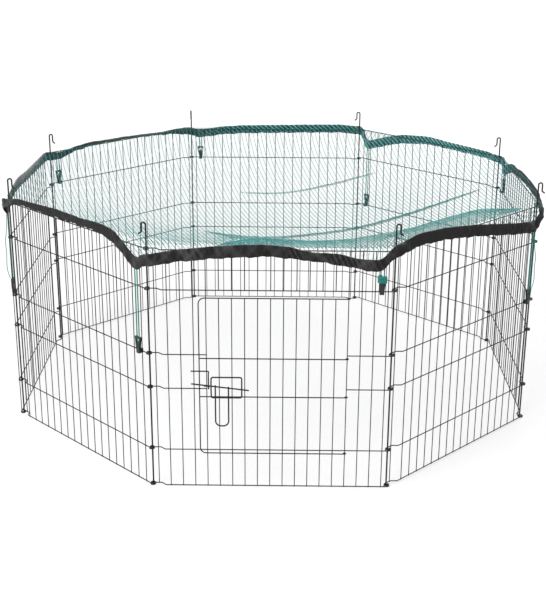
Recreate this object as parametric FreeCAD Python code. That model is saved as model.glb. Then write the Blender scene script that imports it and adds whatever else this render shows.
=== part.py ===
import FreeCAD, Part
import math
import os

os.makedirs("parts", exist_ok=True)

# An eight-sided folding pet run: wire panels on hinge rods, a wire door with a sliding latch, and a net roof
# held by a cloth hem and corner ties. Lengths are in millimetres. The floor is z = 0 and the door faces -Y.

# Ring of panels
panel_count = 8
panel_width = 570.0          # from rod to rod
panel_height = 600.0         # from bottom rail to top rail
rail_wire = 2.6              # level wires of a panel
upright_wire = 2.2           # standing wires of a panel
upright_pitch = 30.0
first_upright = 15.0         # from the rod to the nearest standing wire
rail_height_shares = (0.0, 0.161, 0.428, 0.572, 0.839, 1.0)
weld_sink = 0.1              # how deep welded wires press into each other
eye_radius = 5.75            # rail eye, to the wire's middle
eye_turn = 285.0             # degrees of wire in an eye
eye_stack_gap = 0.4          # between the stacked eyes of two neighbouring panels
joggle_start = 21.0          # where a rail steps outward, from its left rod
joggle_bend = 5.0

# Hinge rods with a crook at the top
rod_wire = 4.0
rod_eye_gap = 0.3            # a rod leans on its eyes with this gap
rod_top = 665.0
crook_width = 10.0           # rod to hanging leg, middle to middle
crook_leg = 22.0
crook_tail_out = 7.0
crook_tail_down = 5.0
crook_tail_bend = 4.0
crook_directions = (170.0, 10.0, 0.0, 190.0, 180.0, 100.0, -10.0, 10.0)

# Door
door_wire = 2.8
door_eye_gap = 0.4
door_eye_turn = 250.0
door_left_upright = 4        # the opening's edges, as standing wires counted from the left
door_right_upright = 15
door_overlap = 17.0          # past the opening's left edge
door_corner_bend = 14.0
door_height_shares = (0.150, 0.397, 0.560, 0.810)

# Latch
latch_wire = 3.5
latch_gap = 0.3
guide_left = 146.0
guide_right = 218.0
guide_height = 52.0
guide_bend = 4.0
bridge_low_share = 0.46      # where the guide's left side stands off, as shares of its height
bridge_high_share = 0.76
bolt_left = 99.0
bolt_length = 137.0
bolt_rise_share = 0.60       # bolt at the guide's left side, as a share of the guide's height
bolt_slope = -0.1176
bolt_edge = 0.6
handle_left = 156.0
handle_right = 187.0
handle_drop = 100.0
handle_bend = 13.0
handle_over = 5.0            # legs stand this far above the bolt
handle_gap = 0.05
keeper_wire = 3.2
keeper_start = 97.0
keeper_loop = 140.0
keeper_end = 128.0
keeper_above = 31.0          # loop ends over and under the bolt
keeper_below = 7.2
keeper_bend = 4.0

# Net roof and its cloth hem
hem_height = 30.0
hem_thick = 5.0
hem_gap = 0.4                # between the hem and the standing wires
hem_u_shares = (0.012, 0.12, 0.30, 0.50, 0.70, 0.82, 0.988)
hem_dip_left = 8.0           # level run of the hem over a tie, to its left and right
hem_dip_right = 6.0
hem_rise_shares = (
    (-0.80, -0.40, -0.07, 0.10, -0.33, -0.73, -1.07),
    (0.17, 0.53, 0.33, -0.20, -0.87, -1.27, -1.53),
    (-0.67, 0.47, 0.60, 0.53, 0.27, -0.27, -1.07),
    (-0.17, 0.13, 0.27, 0.37, -0.13, -0.80, -1.50),
    (0.00, 0.20, 0.17, 0.10, 0.03, -0.13, -0.47),
    (-0.17, 0.23, 0.47, 0.60, 0.57, 0.27, -0.30),
    (-0.17, -0.07, 0.03, 0.13, 0.40, 0.13, -0.83),
    (0.10, 0.67, 0.60, 0.63, 0.67, 0.27, -1.23),
)
net_thick = 2.5
net_strand = 4.0
net_pitch = 120.0
net_edge = 3.0               # plain border of each net field
net_lift = 3.6               # net over the higher top rails at its edge
net_sag = 55.0
net_floor_share = 0.45       # flat middle of the net, as a share of its width
net_smallest_gap = 300.0     # square millimetres
rod_hole_width = 20.0        # gap in the net where a rod comes through
rod_hole_in = 16.0           # from the rod's middle toward the ring's middle, and outward
rod_hole_out = 5.0

# Corner ties: an elastic cord loop and a plastic clip hooked under a rail
tie_places = (546.0, 540.0, 540.0, 540.0, 540.0, 540.0, 534.0, 534.0)   # along the panel, from its left rod
tie_rails = (3, 4, 3, 4, 3, 4, 4, 3)   # rail that each corner's clip holds, counted from the floor
cord_wire = 3.0
cord_spread = 8.0            # between the two strands
cord_hole_gap = 0.3
wrap_corner = 1              # this corner's spare cord is wound round its clip's head
wrap_turns = 4
wrap_below = 11.0            # winding starts this far under the clip's top
wrap_bend = 3.0
wrap_gap = 0.2               # between turns
wrap_side_gap = 0.25         # to the clip's sides, and to its faces
wrap_face_gap = 0.95
clip_height = 36.0
clip_top_width = 20.0
clip_waist_width = 12.0
clip_waist_height = 8.0
clip_foot_width = 10.0
clip_thick = 5.5
clip_gap = 0.4
clip_hook_floor = 3.6
clip_hook_tail = 2.0
clip_hook_rise = 5.0
clip_window_low = 22.0
clip_window_high = 31.0
clip_window_width = 13.0
clip_rib = 0.8
clip_rib_tall = 1.6
clip_rib_shares = (0.22, 0.34, 0.46)

# Derived sizes
turn_step = 360.0 / panel_count
half_turn = math.radians(turn_step / 2)
ring_inradius = panel_width / 2 / math.tan(half_turn)
ring_radius = panel_width / 2 / math.sin(half_turn)
rail_r = rail_wire / 2
upright_r = upright_wire / 2
rod_r = rod_wire / 2
door_r = door_wire / 2
latch_r = latch_wire / 2
keeper_r = keeper_wire / 2
cord_r = cord_wire / 2
upright_count = int(round((panel_width - 2 * first_upright) / upright_pitch)) + 1
upright_out = eye_radius + rail_r + upright_r - weld_sink       # middle of the standing wires
upright_face = upright_out + upright_r                          # outer face of the panel
panel_stagger = rail_wire + eye_stack_gap                       # odd panels sit this much higher
rod_lean = eye_radius - rail_r - rod_r - rod_eye_gap
rail_heights = [rail_r + share * panel_height for share in rail_height_shares]
door_heights = [rail_r + share * panel_height for share in door_height_shares]
door_eye_radius = upright_r + door_eye_gap + door_r
door_out = upright_out + door_eye_radius                        # middle of the door's level wires
door_upright_out = door_out + door_r + upright_r - weld_sink
door_face = door_upright_out + upright_r
guide_out = door_face + latch_r - weld_sink
bolt_out = guide_out + latch_wire + latch_gap
bridge_out = bolt_out + latch_wire + latch_gap
handle_out = bolt_out + latch_wire + handle_gap
keeper_in = upright_out - upright_r - keeper_r + weld_sink
keeper_out = bolt_out + latch_r + latch_gap + keeper_r
guide_low = door_heights[1]
guide_high = guide_low + guide_height
hem_in = upright_face + hem_gap
hem_middle = hem_in + hem_thick / 2
hem_level = rail_heights[-1]
net_inradius = ring_inradius + hem_in
net_level = rail_heights[-1] + rail_r + panel_stagger + net_lift


def upright_at(index):
    """Distance of a standing wire from the panel's left rod."""
    return first_upright + index * upright_pitch


def front_point(along, out, up):
    """A point on the front side: along from its left rod, out from the rods' line, up from the floor."""
    return FreeCAD.Vector(along - panel_width / 2, -(ring_inradius + out), up)


def turned(shape, side):
    """A copy of a shape built on the front side, turned round the ring to another side."""
    copy = shape.copy()
    copy.rotate(FreeCAD.Vector(0, 0, 0), FreeCAD.Vector(0, 0, 1), side * turn_step)
    return copy


def straight_wire(start, end, radius):
    """A round wire from one point to another."""
    return Part.makeCylinder(radius, start.distanceToPoint(end), start, end - start)


def bent_path(points, bend):
    """Straight runs through the points, joined by tangent arcs."""
    edges = []
    start = points[0]
    for before, corner, after in zip(points, points[1:], points[2:]):
        back = (before - corner).normalize()
        ahead = (after - corner).normalize()
        half = back.getAngle(ahead) / 2
        leave = corner + back * (bend / math.tan(half))
        join = corner + ahead * (bend / math.tan(half))
        middle = corner + (back + ahead).normalize() * (bend / math.sin(half) - bend)
        if not start.isEqual(leave, weld_sink / 10):
            edges.append(Part.makeLine(start, leave))
        edges.append(Part.Arc(leave, middle, join).toShape())
        start = join
    if not start.isEqual(points[-1], weld_sink / 10):
        edges.append(Part.makeLine(start, points[-1]))
    return edges


def eye_arc(along, out, up, radius, start, turn):
    """A level arc of wire round a point on the front side, from one angle through a turn."""
    def at(angle):
        swing = math.radians(angle)
        return front_point(along + radius * math.cos(swing), out + radius * math.sin(swing), up)
    return Part.Arc(at(start), at(start + turn / 2), at(start + turn)).toShape()


def tube(edges, radius):
    """A round wire along a path."""
    first = edges[0]
    begin = first.valueAt(first.FirstParameter)
    heading = first.tangentAt(first.FirstParameter)
    ring = Part.Wire([Part.makeCircle(radius, begin, heading)])
    return Part.Wire(edges).makePipeShell([ring], True, False)


def solid_from(points, sweep):
    """A flat face through the points, pushed along a direction."""
    return Part.Face(Part.makePolygon(points + points[:1])).extrude(sweep)


def rail(up, left_end, right_end):
    """A level wire, with an eye at each rod that it reaches and a step after the left one."""
    edges = []
    if left_end == 0:
        edges.append(eye_arc(0, 0, up, eye_radius, 270 - eye_turn, eye_turn))
        points = [(0, -eye_radius), (joggle_start, -eye_radius), (joggle_start + 2 * eye_radius, eye_radius)]
    else:
        points = [(left_end, eye_radius)]
    points.append((right_end, eye_radius))
    edges += bent_path([front_point(a, o, up) for a, o in points], joggle_bend)
    if right_end == panel_width:
        edges.append(eye_arc(panel_width, 0, up, eye_radius, 90, -eye_turn))
    return tube(edges, rail_r)


def panel(side):
    """A welded panel: each wire is a solid of its own, pressed a little into those it is welded to."""
    lift = panel_stagger * (side % 2)
    wires = []
    left_jamb = upright_at(door_left_upright)
    right_jamb = upright_at(door_right_upright)
    for index, height in enumerate(rail_heights):
        if side == 0 and index in (2, 3):
            wires.append(rail(height, 0, left_jamb + upright_r))
            wires.append(rail(height, right_jamb - upright_r, panel_width))
        else:
            wires.append(rail(height + lift, 0, panel_width))
    for index in range(upright_count):
        along = upright_at(index)
        out = upright_out - (2 * eye_radius if index == 0 else 0)
        spans = [(rail_heights[0], rail_heights[-1])]
        if side == 0 and door_left_upright < index < door_right_upright:
            spans = [(rail_heights[0], rail_heights[1]), (rail_heights[4], rail_heights[-1])]
        for low, high in spans:
            ends = [front_point(along, out, height + lift) for height in (low, high)]
            wires.append(straight_wire(ends[0], ends[1], upright_r))
    return turned(Part.makeCompound(wires), side)


def rod(corner):
    """A hinge rod with a crook, leaning inward on the eyes at its corner."""
    angle = math.radians(corner * turn_step - 90 - turn_step / 2)
    facing = math.radians(crook_directions[corner])
    foot = FreeCAD.Vector(math.cos(angle), math.sin(angle), 0) * (ring_radius - rod_lean)
    aside = FreeCAD.Vector(math.cos(facing), math.sin(facing), 0)
    rise = FreeCAD.Vector(0, 0, 1)
    crown = rod_top - rod_r
    upper = [foot, foot + rise * crown, foot + rise * crown + aside * crook_width]
    leg_end = upper[-1] - rise * crook_leg
    tail = leg_end + aside * crook_tail_out - rise * crook_tail_down
    edges = bent_path(upper + [upper[-1] - rise * (crook_width / 2)], crook_width / 2)
    edges += bent_path([upper[-1] - rise * (crook_width / 2), leg_end, tail], crook_tail_bend)
    return tube(edges, rod_r)


def door():
    """The wire door: a bent frame and cross wires with eyes round the right jamb, and standing wires."""
    hinge = upright_at(door_right_upright)
    edge = upright_at(door_left_upright) - door_overlap
    low, lower_mid, upper_mid, high = door_heights

    def into(height):
        return eye_arc(hinge, upright_out, height, door_eye_radius, 90 - door_eye_turn, door_eye_turn)

    frame_points = [(hinge, high), (edge, high), (edge, low), (hinge, low)]
    frame = [into(high)]
    frame += bent_path([front_point(a, door_out, h) for a, h in frame_points], door_corner_bend)
    frame.append(eye_arc(hinge, upright_out, low, door_eye_radius, 90, -door_eye_turn))
    wires = [tube(frame, door_r)]
    for height in (lower_mid, upper_mid):
        end = front_point(edge + door_r - weld_sink, door_out, height)
        wires.append(tube([into(height), Part.makeLine(front_point(hinge, door_out, height), end)], door_r))
    for index in range(door_left_upright + 1, door_right_upright):
        along = upright_at(index)
        ends = [front_point(along, door_upright_out, height) for height in (low, high)]
        wires.append(straight_wire(ends[0], ends[1], upright_r))
    return Part.makeCompound(wires)


def bolt_height(along):
    """Height of the bolt's middle, which hangs a little down toward the hinge."""
    return guide_low + bolt_rise_share * guide_height + bolt_slope * (along - guide_left)


def latch_guide():
    """A closed wire loop on the door; its left side stands off to let the bolt pass behind it."""
    middle = (guide_left + guide_right) / 2
    bridge = [guide_low + share * guide_height for share in (bridge_low_share, bridge_high_share)]
    low = front_point(middle, guide_out, guide_low)
    high = front_point(middle, guide_out, guide_high)
    right = [low]
    right += [front_point(guide_right, guide_out, height) for height in (guide_low, guide_high)]
    right.append(high)
    left = [low, front_point(guide_left, guide_out, guide_low)]
    left += [front_point(guide_left, bridge_out, height) for height in bridge]
    left += [front_point(guide_left, guide_out, guide_high), high]
    halves = [tube(bent_path(points, guide_bend), latch_r) for points in (right, left)]
    return halves[0].fuse(halves[1]).removeSplitter()


def latch_bolt():
    """The sliding rod of the latch, with softened ends."""
    run = bolt_length / math.hypot(1, bolt_slope)
    ends = [front_point(along, bolt_out, bolt_height(along)) for along in (bolt_left, bolt_left + run)]
    wire = straight_wire(ends[0], ends[1], latch_r)
    rims = [edge for edge in wire.Edges if isinstance(edge.Curve, Part.Circle)]
    return wire.makeFillet(bolt_edge, rims)


def latch_handle():
    """The pull loop that hangs in front of the bolt."""
    bottom = bolt_height(handle_left) - handle_drop
    points = [(handle_left, bolt_height(handle_left) + handle_over), (handle_left, bottom)]
    points += [(handle_right, bottom), (handle_right, bolt_height(handle_right) + handle_over)]
    return tube(bent_path([front_point(a, handle_out, h) for a, h in points], handle_bend), latch_r)


def latch_keeper():
    """The loop on the panel, through the door's first gap, that the bolt runs into."""
    top = bolt_height(keeper_loop) + keeper_above
    foot = bolt_height(keeper_loop) - keeper_below
    points = [(keeper_start, keeper_in, top), (keeper_loop, keeper_in, top), (keeper_loop, keeper_out, top)]
    points += [(keeper_loop, keeper_out, foot), (keeper_loop, keeper_in, foot), (keeper_end, keeper_in, foot)]
    return tube(bent_path([front_point(*p) for p in points], keeper_bend), keeper_r)


def hem_middle_heights(side):
    """Height of the hem's middle at each place along one side, level at both corners and at the tie."""
    rises = hem_rise_shares[side]
    row = list(rises) + [rises[-1], hem_rise_shares[(side + 1) % panel_count][0]]
    return [hem_level + share * hem_height for share in row]


def net_hem():
    """The cloth hem: a scalloped band on each side, mitred at the corners into one ring."""
    reach = panel_width / 2 + hem_height
    bands = []
    for side in range(panel_count):
        heights = hem_middle_heights(side)
        tie = tie_places[(side + 1) % panel_count]
        places = [share * panel_width for share in hem_u_shares]
        places[-1:] = [tie - hem_dip_left, tie + hem_dip_right, places[-1]]
        places = [panel_width / 2 - reach] + places + [panel_width / 2 + reach]
        heights = [heights[0]] + heights + [heights[-1]]
        top = [front_point(a, hem_in, h + hem_height / 2) for a, h in zip(places, heights)]
        low = [front_point(a, hem_in, h - hem_height / 2) for a, h in zip(places, heights)]
        band = solid_from(top + low[::-1], FreeCAD.Vector(0, -hem_thick, 0))
        far = (ring_inradius + hem_in + hem_thick) * 2
        spread = far * math.tan(half_turn)
        wedge = [FreeCAD.Vector(0, 0, 0), FreeCAD.Vector(spread, -far, 0), FreeCAD.Vector(-spread, -far, 0)]
        bands.append(turned(band.common(solid_from(wedge, FreeCAD.Vector(0, 0, rod_top * 2))), side))
    return bands[0].multiFuse(bands[1:]).removeSplitter()


def clipped(polygon, outline):
    """The part of a convex polygon inside a convex outline; both run anticlockwise, as (x, y) points."""
    for (ax, ay), (bx, by) in zip(outline, outline[1:] + outline[:1]):
        kept = []
        for (px, py), (qx, qy) in zip(polygon, polygon[1:] + polygon[:1]):
            p_in = (bx - ax) * (py - ay) - (by - ay) * (px - ax)
            q_in = (bx - ax) * (qy - ay) - (by - ay) * (qx - ax)
            if p_in >= 0:
                kept.append((px, py))
            if p_in * q_in < 0:
                part = p_in / (p_in - q_in)
                kept.append((px + part * (qx - px), py + part * (qy - py)))
        polygon = kept
        if len(polygon) < 3:
            return []
    return polygon


def area_of(polygon):
    """Area of a polygon given as (x, y) points."""
    pairs = zip(polygon, polygon[1:] + polygon[:1])
    return abs(sum(px * qy - qx * py for (px, py), (qx, qy) in pairs)) / 2


def net_gaps(outline):
    """Diamond gaps of the net inside one outline."""
    half = net_pitch / 2 - net_strand / 2 * math.sqrt(2)
    steps = int(net_inradius * 2 / net_pitch) + 2
    gaps = []
    for row in range(-steps, steps + 1):
        for column in range(-steps, steps + 1):
            x = column * net_pitch + (row % 2) * net_pitch / 2
            y = row * net_pitch / 2
            diamond = [(x + half, y), (x, y + half), (x - half, y), (x, y - half)]
            gap = clipped(diamond, outline)
            if gap and area_of(gap) > net_smallest_gap:
                gaps.append(gap)
    return gaps


def net_plate(outline, height_at):
    """A thin plate under an outline, lying on the plane that height_at gives."""
    points = [FreeCAD.Vector(x, y, height_at(x, y)) for x, y in outline]
    return solid_from(points, FreeCAD.Vector(0, 0, net_thick))


def net_cutters(outline):
    """Upright prisms that cut the net's gaps inside one outline."""
    low = net_level - net_sag * 2
    prisms = []
    for gap in net_gaps(outline):
        points = [FreeCAD.Vector(x, y, low) for x, y in gap]
        prisms.append(solid_from(points, FreeCAD.Vector(0, 0, net_sag * 4)))
    return Part.makeCompound(prisms)


def net_roof():
    """The net: a flat middle and sloping fields on each side, with diamond gaps and a gap at each rod."""
    inner_in = net_inradius * net_floor_share
    tangent = math.tan(half_turn)
    floor_level = net_level - net_sag
    slope = net_sag / (net_inradius - inner_in)
    border = net_edge / math.cos(half_turn)
    corners_at = [math.radians(k * turn_step + turn_step / 2) for k in range(panel_count)]

    def octagon(inradius):
        far = inradius / math.cos(half_turn)
        return [(far * math.cos(a), far * math.sin(a)) for a in corners_at]

    def field(far, near, inset):
        row = [(-far * tangent + inset, -far), (far * tangent - inset, -far)]
        return row + [(near * tangent - inset, -near), (-near * tangent + inset, -near)]

    plate = net_plate(field(net_inradius, inner_in, 0), lambda x, y: floor_level + slope * (-y - inner_in))
    slopes = plate.multiFuse([turned(plate, side) for side in range(1, panel_count)])
    net = slopes.fuse(net_plate(octagon(inner_in), lambda x, y: floor_level))
    side_gaps = net_cutters(field(net_inradius - net_edge, inner_in + net_edge, border))
    cutters = [turned(side_gaps, side) for side in range(panel_count)]
    cutters.append(net_cutters(octagon(inner_in - net_edge)))
    hole = Part.makeBox(rod_hole_in + rod_hole_out, rod_hole_width, net_sag)
    hole_start = ring_radius - rod_lean - rod_hole_in
    hole.translate(FreeCAD.Vector(hole_start, -rod_hole_width / 2, net_level - net_sag / 2))
    hole.rotate(FreeCAD.Vector(0, 0, 0), FreeCAD.Vector(0, 0, 1), -90 - turn_step / 2)
    cutters += [turned(hole, corner) for corner in range(panel_count)]
    return net.cut(Part.makeCompound(cutters))


def tie_side(corner):
    """The side that a corner's tie hangs on: the one to the corner's left, seen from outside."""
    return (corner - 1) % panel_count


def tie_rail_height(corner):
    """Height of the rail that a corner's clip holds."""
    return rail_heights[tie_rails[corner]] + panel_stagger * (tie_side(corner) % 2)


def tie_cord(corner):
    """A corner's elastic loop: down from the hem, round the clip's bridge and up again."""
    start = hem_middle_heights(tie_side(corner))[-2] - hem_height / 2
    turn = tie_rail_height(corner) + clip_window_low + cord_hole_gap * 2 + cord_r
    left = tie_places[corner] - cord_spread / 2
    right = tie_places[corner] + cord_spread / 2
    points = [(left, start), (left, turn), (right, turn), (right, start)]
    edges = bent_path([front_point(a, hem_middle, h) for a, h in points], cord_spread / 2)
    return turned(tube(edges, cord_r), tie_side(corner))


def tie_wrap(corner):
    """Spare cord wound in close turns round the clip's head, from its back to its back again."""
    long = clip_top_width / 2 + wrap_side_gap + cord_r
    deep = clip_thick / 2 + wrap_face_gap + cord_r
    low = tie_rail_height(corner) + clip_height - wrap_below + cord_r
    lap = [(long, -deep), (long, deep), (-long, deep), (-long, -deep)] * wrap_turns
    lap = [(0, -deep)] + lap + [(0, -deep)]
    climb = (cord_wire + wrap_gap) * wrap_turns / (len(lap) - 1)
    points = [(tie_places[corner] + a, hem_middle + o, low + climb * step) for step, (a, o) in enumerate(lap)]
    return turned(tube(bent_path([front_point(*p) for p in points], wrap_bend), cord_r), tie_side(corner))


def tie_clip(corner):
    """A corner's plastic clip: a tapered plate with a hook under the rail and a window for the cord."""
    rail_up = tie_rail_height(corner)
    tie_place = tie_places[corner]
    inner = hem_middle - clip_thick / 2
    outer = hem_middle + clip_thick / 2
    hook_top = -(rail_r + clip_gap)
    foot = hook_top - clip_hook_floor
    tail_out = eye_radius - rail_r - clip_gap
    tail_in = tail_out - clip_hook_tail
    profile = [(tail_in, foot), (outer, foot), (outer, clip_height), (inner, clip_height)]
    profile += [(inner, hook_top), (tail_out, hook_top)]
    profile += [(tail_out, clip_hook_rise), (tail_in, clip_hook_rise)]
    left = tie_place - clip_top_width / 2
    across = FreeCAD.Vector(clip_top_width, 0, 0)
    body = solid_from([front_point(left, o, rail_up + h) for o, h in profile], across)
    for share in clip_rib_shares:
        low = rail_up + share * clip_height
        high = low + clip_rib_tall
        rib = [(outer, low), (outer + clip_rib, low), (outer + clip_rib, high), (outer, high)]
        body = body.fuse(solid_from([front_point(left, o, h) for o, h in rib], across))
    widths = [(clip_foot_width, foot), (clip_waist_width, clip_waist_height), (clip_top_width, clip_height)]
    shape = [(tie_place - w / 2, h) for w, h in widths] + [(tie_place + w / 2, h) for w, h in widths[::-1]]
    deep = outer + clip_rib - tail_in
    outline = [front_point(a, tail_in, rail_up + h) for a, h in shape]
    body = body.common(solid_from(outline, FreeCAD.Vector(0, -deep, 0)))
    window_sides = (tie_place - clip_window_width / 2, tie_place + clip_window_width / 2)
    window = [(a, clip_window_low) for a in window_sides]
    window += [(a, clip_window_high) for a in window_sides[::-1]]
    window_points = [front_point(a, tail_in, rail_up + h) for a, h in window]
    body = body.cut(solid_from(window_points, FreeCAD.Vector(0, -deep, 0)))
    for along in (tie_place - cord_spread / 2, tie_place + cord_spread / 2):
        low = front_point(along, hem_middle, rail_up + clip_window_high - clip_rib)
        high = front_point(along, hem_middle, rail_up + clip_height + clip_rib)
        body = body.cut(straight_wire(low, high, cord_r + cord_hole_gap))
    return turned(body.removeSplitter(), tie_side(corner))


sides = ("front", "front_right", "right", "back_right", "back", "back_left", "left", "front_left")
corners = ("front_left", "front_right", "right_front", "right_back")
corners += ("back_right", "back_left", "left_back", "left_front")

pieces = {}
for side, name in enumerate(sides):
    pieces["panel_" + name] = panel(side)
for corner, name in enumerate(corners):
    pieces["rod_" + name] = rod(corner)
    pieces["tie_cord_" + name] = tie_cord(corner)
    pieces["tie_clip_" + name] = tie_clip(corner)
pieces["tie_wrap_" + corners[wrap_corner]] = tie_wrap(wrap_corner)
pieces["door"] = door()
pieces["latch_guide"] = latch_guide()
pieces["latch_bolt"] = latch_bolt()
pieces["latch_handle"] = latch_handle()
pieces["latch_keeper"] = latch_keeper()
pieces["net_roof"] = net_roof()
pieces["net_hem"] = net_hem()

for name, shape in pieces.items():
    shape.exportStep("parts/" + name + ".step")
    print(name, "valid" if shape.isValid() else "not valid", len(shape.Solids))
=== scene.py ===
"""Looks of the folding pet run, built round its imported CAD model: coated wire, a sagging net roof on a
wrinkled cloth hem, elastic corner ties with plastic clips, and a plain studio. Sizes are in metres."""

import math

import bmesh
import bpy
import numpy as np
from bpy.props import FloatProperty, FloatVectorProperty, PointerProperty
from mathutils import Matrix, Vector


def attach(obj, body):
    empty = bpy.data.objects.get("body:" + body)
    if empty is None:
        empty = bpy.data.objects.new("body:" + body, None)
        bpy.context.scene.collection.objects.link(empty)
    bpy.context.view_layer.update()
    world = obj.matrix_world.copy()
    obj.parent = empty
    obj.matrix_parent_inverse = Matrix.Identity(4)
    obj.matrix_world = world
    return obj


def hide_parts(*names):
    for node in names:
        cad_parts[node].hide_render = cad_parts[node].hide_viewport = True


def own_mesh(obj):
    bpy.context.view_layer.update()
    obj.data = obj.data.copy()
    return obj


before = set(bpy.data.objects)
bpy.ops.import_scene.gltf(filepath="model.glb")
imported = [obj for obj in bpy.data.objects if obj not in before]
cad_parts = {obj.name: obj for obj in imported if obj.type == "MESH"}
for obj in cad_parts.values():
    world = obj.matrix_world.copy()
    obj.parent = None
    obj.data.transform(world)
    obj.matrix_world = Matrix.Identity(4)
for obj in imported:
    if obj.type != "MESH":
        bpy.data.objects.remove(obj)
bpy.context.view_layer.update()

bl_info = {
    "name": "Folding Pet Run",
    "version": (1, 0, 0),
    "blender": (4, 5, 0),
    "location": "View3D > Sidebar > Pet Run",
    "description": "Dresses the packed pet run with its net, hem, ties and finishes, in a studio",
    "category": "Object",
}

# Sizes, as in the part's source where it has them, but for the last row of HEM_RISES and the winding
SIDES = 8
HALF_TURN = math.pi / SIDES
PANEL_WIDTH = 0.570
RING_IN = PANEL_WIDTH / 2 / math.tan(HALF_TURN)  # middle of the run to the line between two rods
ROD_INSET = 0.00215  # rods stand this far inside the ring's corners
ROD_RADIUS = PANEL_WIDTH / 2 / math.sin(HALF_TURN) - ROD_INSET
TOP_RAIL = 0.6013
RAIL_STAGGER = 0.003  # odd panels sit this much higher
RAIL_HEIGHTS = (0.0013, 0.0979, 0.2581, 0.3445, 0.5047, 0.6013)
HEM_OUT = 0.01205  # middle of the hem, outside the rods' line
HEM_TALL = 0.030
HEM_BEND = 0.008  # spread that softens the hem's corners in plan
HEM_PLACES = (0.012, 0.12, 0.30, 0.50, 0.70, 0.82)  # shares of a side; a tie's dip and HEM_LAST follow them
HEM_LAST = 0.988  # from here on the next side's height holds
DIP_LEFT, DIP_RIGHT = 0.008, 0.006  # level run of the hem over a tie
DIP_SHIFTS = (0.0, -0.012, 0.0, 0.0, 0.0, 0.0, 0.0, 0.0)  # of that run's middle, by corner
# The hem's middle over the top wire, in hem heights: a row a side, at its places and its tie's dip
HEM_RISES = (
    (-0.80, -0.40, -0.07, 0.10, -0.33, -0.73, -1.07),
    (0.17, 0.53, 0.33, -0.20, -0.87, -1.27, -1.53),
    (-0.67, 0.47, 0.60, 0.53, 0.27, -0.27, -1.07),
    (-0.17, 0.13, 0.27, 0.37, -0.13, -0.80, -1.50),
    (0.00, 0.20, 0.17, 0.10, 0.03, -0.13, -0.47),
    (-0.17, 0.23, 0.47, 0.60, 0.57, 0.27, -0.30),
    (-0.17, -0.07, 0.03, 0.13, 0.40, 0.13, -0.83),
    (0.10, 0.84, 0.77, 0.80, 0.80, 0.27, -1.23),
)
CORNERS = ("front_left", "front_right", "right_front", "right_back",
           "back_right", "back_left", "left_back", "left_front")
TIE_RAILS = (3, 4, 3, 4, 3, 4, 4, 3)  # level wire that each corner's clip holds
TIE_PLACES = (0.546, 0.540, 0.540, 0.540, 0.540, 0.540, 0.534, 0.534)  # along its side, by corner
CORD_SPREAD = 0.008  # between a loop's two strands
CORD_TUCK = 0.008  # strands begin this far above the hem's lower edge
CORD_EASE = 0.018  # height of a strand's last route point over its turn
CORD_SIDES = 8
CLIP_TALL = 0.036
CLIP_BRIDGE = 0.0241  # cord's turn over the held wire
CLIP_SOFT = 0.0005  # width of a clip's softened edges
WRAP_CORNER = 1
WRAP_TURNS = 5
WRAP_POINTS = 20  # route points a turn
WRAP_BELOW = 0.0142  # winding starts this far under the clip's top
WRAP_LONG, WRAP_DEEP = 0.0098, 0.0050  # half sizes of a turn, to the cord's middle
WRAP_GAP = 0.0002  # between two turns
TAIL_CORNERS = (2, 7)  # corners with a thin slack tail beside the loop
# A tail's route: shares of its drop and of its bow
TAIL_WAY = ((0.0, 0.0), (0.30, 0.35), (0.45, 1.0), (0.62, 0.75), (0.78, 1.0), (0.90, 0.9), (1.0, 0.3))
TAIL_OUT, TAIL_ASIDE = 0.003, 0.4  # its start outside the hem's middle, and its bow's share along the side
TAIL_END = 0.012  # a tail ends this far above the loop's turn

# How much of the hem's height shows, its top edge rolled down by the rest: places round the ring and shares
HEM_SHOWN = ((0.02, 0.95), (0.45, 0.97), (0.50, 0.86), (0.57, 0.93), (0.64, 0.68), (0.70, 0.70),
             (0.77, 0.92), (0.835, 0.72), (0.90, 0.92), (1.00, 0.97), (1.95, 0.97), (2.10, 0.75),
             (2.55, 0.75), (2.65, 0.60), (2.75, 0.85), (2.90, 0.97), (3.03, 0.65), (3.35, 0.66),
             (3.45, 0.74), (3.60, 0.88), (3.85, 0.98), (4.05, 0.87), (4.90, 0.87), (5.03, 0.80),
             (5.15, 0.42), (5.24, 0.28), (5.60, 0.28), (5.76, 0.42), (5.85, 0.45), (5.95, 0.80),
             (6.05, 0.88), (6.65, 0.85), (6.80, 0.62), (6.95, 0.95), (7.03, 0.70), (7.10, 0.45),
             (7.18, 0.46), (7.25, 0.56), (7.40, 0.70), (7.60, 0.60), (7.70, 0.70), (7.78, 0.97),
             (7.95, 0.97))
HEM_SOFT, SHOWN_SOFT = 0.007, 0.010  # spreads that soften the hem's middle and its shown height

# How strongly the hem's wrinkles get a painted highlight on their ridges: places round the ring and strengths
HEM_HIGHLIGHT = ((0.00, 0.45), (0.10, 1.0), (0.20, 1.5), (0.80, 1.5), (0.92, 0.6), (1.10, 0.4), (1.50, 0.3),
            (2.50, 0.6), (4.50, 0.6), (5.50, 1.2), (6.50, 1.6), (7.50, 0.9), (7.85, 0.7))
HIGHLIGHT_LEAST = 0.12  # wrinkles lower than this get no painted highlight

# Where the hem is painted paler for the light on its inner face, painted light: places round the ring, half
# widths in sides and strengths
HEM_LIT = ((5.43, 0.28, 0.25), (6.42, 0.34, 0.85))
LIT_FLAT, LIT_RIDGE = 0.55, 0.45  # shares of that painted light that flat cloth shows, and that ridges add
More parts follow.
